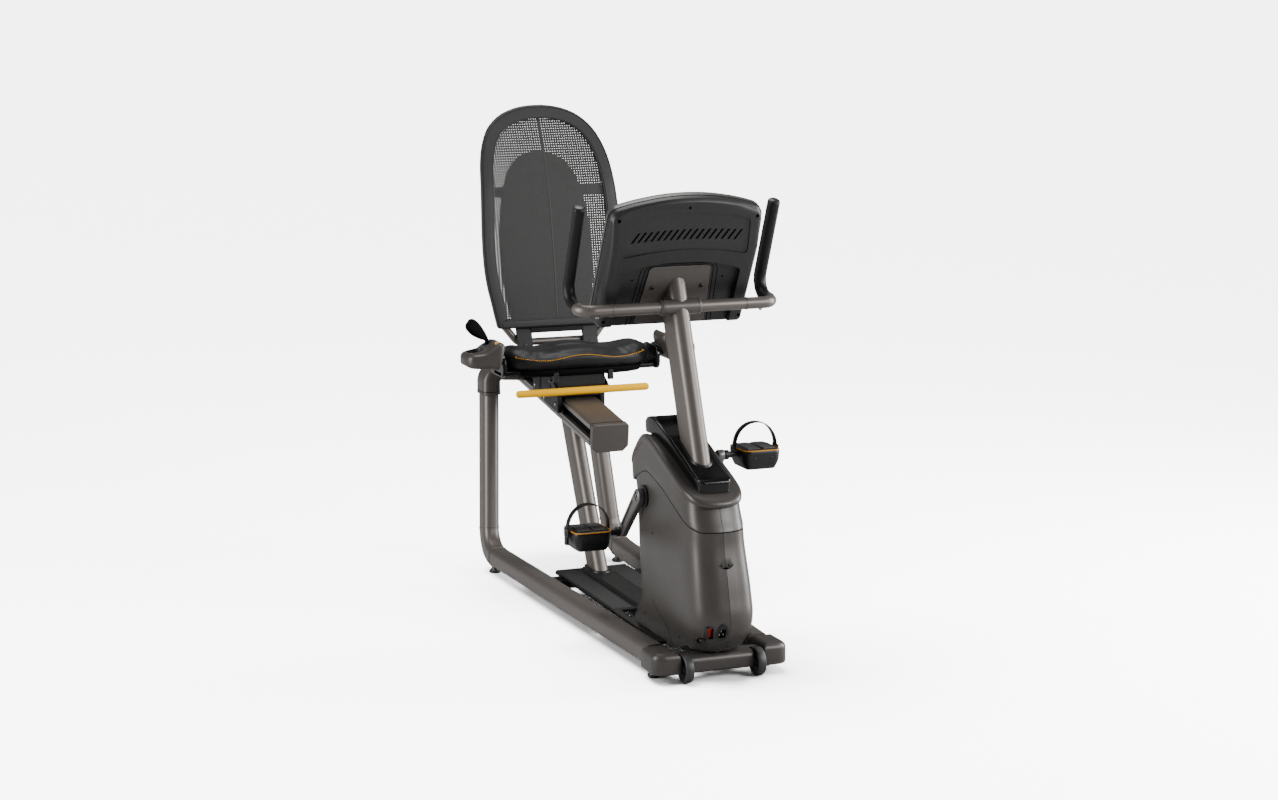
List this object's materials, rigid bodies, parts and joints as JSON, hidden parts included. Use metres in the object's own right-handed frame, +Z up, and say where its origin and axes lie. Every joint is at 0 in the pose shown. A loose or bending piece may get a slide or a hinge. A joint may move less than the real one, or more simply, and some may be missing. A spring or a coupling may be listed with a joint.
{
  "type": "recumbent exercise bike",
  "caption": "Recumbent exercise bike: sliding bucket seat with mesh back on an inclined rail, enclosed crank drive with pedals, mast with console and handlebar.",
  "frame": {"origin": "on the floor, under the middle of the bounding box", "axes": "+Z up; the drive housing and console are at -Y, the seat at +Y, and the rider, who faces -Y, has the right hand towards -X"},
  "size_m": [0.714, 1.6221, 1.396],
  "materials": {
    "frame_metal": "satin warm grey powder coat",
    "housing_grey": "satin warm grey moulding",
    "black_plastic": "satin black moulding",
    "gloss_black": "glossy black moulding",
    "grip_rubber": "black foam rubber",
    "foot_rubber": "black rubber",
    "wheel_tyre": "dark grey hard rubber",
    "rail_aluminium": "satin extruded aluminium",
    "crank_metal": "grey painted forging",
    "steel_dark": "black painted steel",
    "steel_bright": "turned steel",
    "flywheel_iron": "machined cast iron",
    "belt_rubber": "black ribbed belt",
    "cushion_vinyl": "charcoal vinyl, orange stitching",
    "back_grey": "charcoal moulding",
    "mesh_fabric": "black open mesh",
    "console_grey": "charcoal moulding",
    "screen_black": "glossy black screen and bezel",
    "lever_yellow": "speckled yellow",
    "rocker_red": "translucent red",
    "button_white": "off-white, orange outline"
  },
  "bodies": {
    "frame": {"rail_left": "frame_metal", "rail_right": "frame_metal", "front_cap_left": "housing_grey", "front_cap_right": "housing_grey", "front_crossbar": "frame_metal", "chassis": "steel_dark", "step_cover": "black_plastic", "centre_post": "frame_metal", "monorail": "rail_aluminium", "monorail_cap_front": "housing_grey", "monorail_cap_rear": "housing_grey", "upright_collar_left": "housing_grey", "upright_collar_right": "housing_grey", "shell_left": "housing_grey", "shell_right": "housing_grey", "top_shroud": "housing_grey", "mast_boot": "gloss_black", "mast": "frame_metal", "handlebar": "frame_metal", "handle_grip_left": "grip_rubber", "handle_grip_right": "grip_rubber", "console_back": "console_grey", "console_front": "screen_black", "power_inlet": "black_plastic", "drive_belt": "belt_rubber"},
    "seat": {"carriage": "black_plastic", "seat_pan": "black_plastic", "seat_cushion": "cushion_vinyl", "back_rim": "back_grey", "back_mesh": "mesh_fabric", "back_plate": "black_plastic", "back_tube": "frame_metal", "back_struts": "steel_dark", "armrest_left": "housing_grey", "armrest_right": "housing_grey"},
    "cranks": {"spindle": "steel_bright", "drive_pulley": "steel_bright", "crank_left": "crank_metal", "crank_right": "crank_metal"},
    "flywheel": {"flywheel": "flywheel_iron"},
    "pedal_left": {"pedal_left": "black_plastic", "pedal_strap_left": "grip_rubber"},
    "pedal_right": {"pedal_right": "black_plastic", "pedal_strap_right": "grip_rubber"},
    "power_switch": {"power_switch": "rocker_red"},
    "reset_button": {"reset_button": "black_plastic"},
    "release_lever": {"release_lever": "lever_yellow"},
    "recline_lever": {"recline_lever": "black_plastic"},
    "arm_button_left": {"arm_button_left": "button_white"},
    "wheel_left": {"transport_wheel_left": "wheel_tyre"},
    "roller_front_left": {"roller_front_left": "black_plastic"},
    "roller_rear_left": {"roller_rear_left": "black_plastic"},
    "arm_button_right": {"arm_button_right": "button_white"},
    "wheel_right": {"transport_wheel_right": "wheel_tyre"},
    "roller_front_right": {"roller_front_right": "black_plastic"},
    "roller_rear_right": {"roller_rear_right": "black_plastic"},
    "foot_front_left": {"foot_front_left": "foot_rubber"},
    "foot_front_right": {"foot_front_right": "foot_rubber"},
    "foot_rear_left": {"foot_rear_left": "foot_rubber"},
    "foot_rear_right": {"foot_rear_right": "foot_rubber"}
  },
  "joints": [
    {"name": "flywheel_spin", "type": "hinge", "parent": "frame", "child": "flywheel", "pos_m": [0, -0.553, 0.215], "axis": [1, 0, 0], "continuous": true},
    {"name": "crank_spin", "type": "hinge", "parent": "frame", "child": "cranks", "pos_m": [0, -0.393, 0.419], "axis": [1, 0, 0], "continuous": true},
    {"name": "pedal_left_spin", "type": "hinge", "parent": "cranks", "child": "pedal_left", "pos_m": [0, -0.51173, 0.54067], "axis": [1, 0, 0], "continuous": true},
    {"name": "pedal_right_spin", "type": "hinge", "parent": "cranks", "child": "pedal_right", "pos_m": [0, -0.27427, 0.29733], "axis": [1, 0, 0], "continuous": true},
    {"name": "seat_slide", "type": "slide", "parent": "frame", "child": "seat", "axis": [0, 0.991, 0.134], "range_m": [-0.2, 0.12]},
    {"name": "release_lift", "type": "hinge", "parent": "seat", "child": "release_lever", "pos_m": [0, 0.355, 0.612], "axis": [-1, 0, 0], "range_deg": [0, 12], "stiffness_Nm_per_rad": 2, "springref_deg": -14.32},
    {"name": "recline_pull", "type": "hinge", "parent": "seat", "child": "recline_lever", "pos_m": [-0.2755, 0.362, 0.735], "axis": [-1, 0, 0], "range_deg": [0, 8], "stiffness_Nm_per_rad": 0.5, "springref_deg": -8.59},
    {"name": "power_rock", "type": "hinge", "parent": "frame", "child": "power_switch", "pos_m": [-0.053, -0.781, 0.139], "axis": [-1, 0, 0], "range_deg": [0, 8]},
    {"name": "reset_press", "type": "slide", "parent": "frame", "child": "reset_button", "axis": [0, 1, 0], "range_m": [0, 0.003], "stiffness_N_per_m": 400, "springref_m": -0.003},
    {"name": "arm_button_left_press", "type": "slide", "parent": "seat", "child": "arm_button_left", "axis": [0, 0, -1], "range_m": [0, 0.0015], "stiffness_N_per_m": 400, "springref_m": -0.002},
    {"name": "wheel_left_spin", "type": "hinge", "parent": "frame", "child": "wheel_left", "pos_m": [0.101, -0.752, 0.0385], "axis": [1, 0, 0], "continuous": true},
    {"name": "roller_front_left_roll", "type": "hinge", "parent": "seat", "child": "roller_front_left", "pos_m": [0, 0.33715, 0.52898], "axis": [1, 0, 0], "range_deg": [-560, 900]},
    {"name": "roller_rear_left_roll", "type": "hinge", "parent": "seat", "child": "roller_rear_left", "pos_m": [0, 0.49769, 0.55068], "axis": [1, 0, 0], "range_deg": [-560, 900]},
    {"name": "arm_button_right_press", "type": "slide", "parent": "seat", "child": "arm_button_right", "axis": [0, 0, -1], "range_m": [0, 0.0015], "stiffness_N_per_m": 400, "springref_m": -0.002},
    {"name": "wheel_right_spin", "type": "hinge", "parent": "frame", "child": "wheel_right", "pos_m": [-0.101, -0.752, 0.0385], "axis": [1, 0, 0], "continuous": true},
    {"name": "roller_front_right_roll", "type": "hinge", "parent": "seat", "child": "roller_front_right", "pos_m": [0, 0.33715, 0.52898], "axis": [1, 0, 0], "range_deg": [-560, 900]},
    {"name": "roller_rear_right_roll", "type": "hinge", "parent": "seat", "child": "roller_rear_right", "pos_m": [0, 0.49769, 0.55068], "axis": [1, 0, 0], "range_deg": [-560, 900]},
    {"name": "foot_front_left_turn", "type": "hinge", "parent": "frame", "child": "foot_front_left", "pos_m": [0.155, -0.668, 0], "axis": [0, 0, 1], "continuous": true},
    {"name": "foot_front_right_turn", "type": "hinge", "parent": "frame", "child": "foot_front_right", "pos_m": [-0.155, -0.668, 0], "axis": [0, 0, 1], "continuous": true},
    {"name": "foot_rear_left_turn", "type": "hinge", "parent": "frame", "child": "foot_rear_left", "pos_m": [0.1985, 0.547, 0], "axis": [0, 0, 1], "continuous": true},
    {"name": "foot_rear_right_turn", "type": "hinge", "parent": "frame", "child": "foot_rear_right", "pos_m": [-0.1985, 0.547, 0], "axis": [0, 0, 1], "continuous": true}
  ],
  "couplings": [
    {"joint": "crank_spin", "follows": "flywheel_spin", "ratio": 0.34375},
    {"joint": "roller_front_left_roll", "follows": "seat_slide", "rad_per_m": -76.923},
    {"joint": "roller_rear_left_roll", "follows": "seat_slide", "rad_per_m": -76.923},
    {"joint": "roller_front_right_roll", "follows": "seat_slide", "rad_per_m": -76.923},
    {"joint": "roller_rear_right_roll", "follows": "seat_slide", "rad_per_m": -76.923}
  ]
}
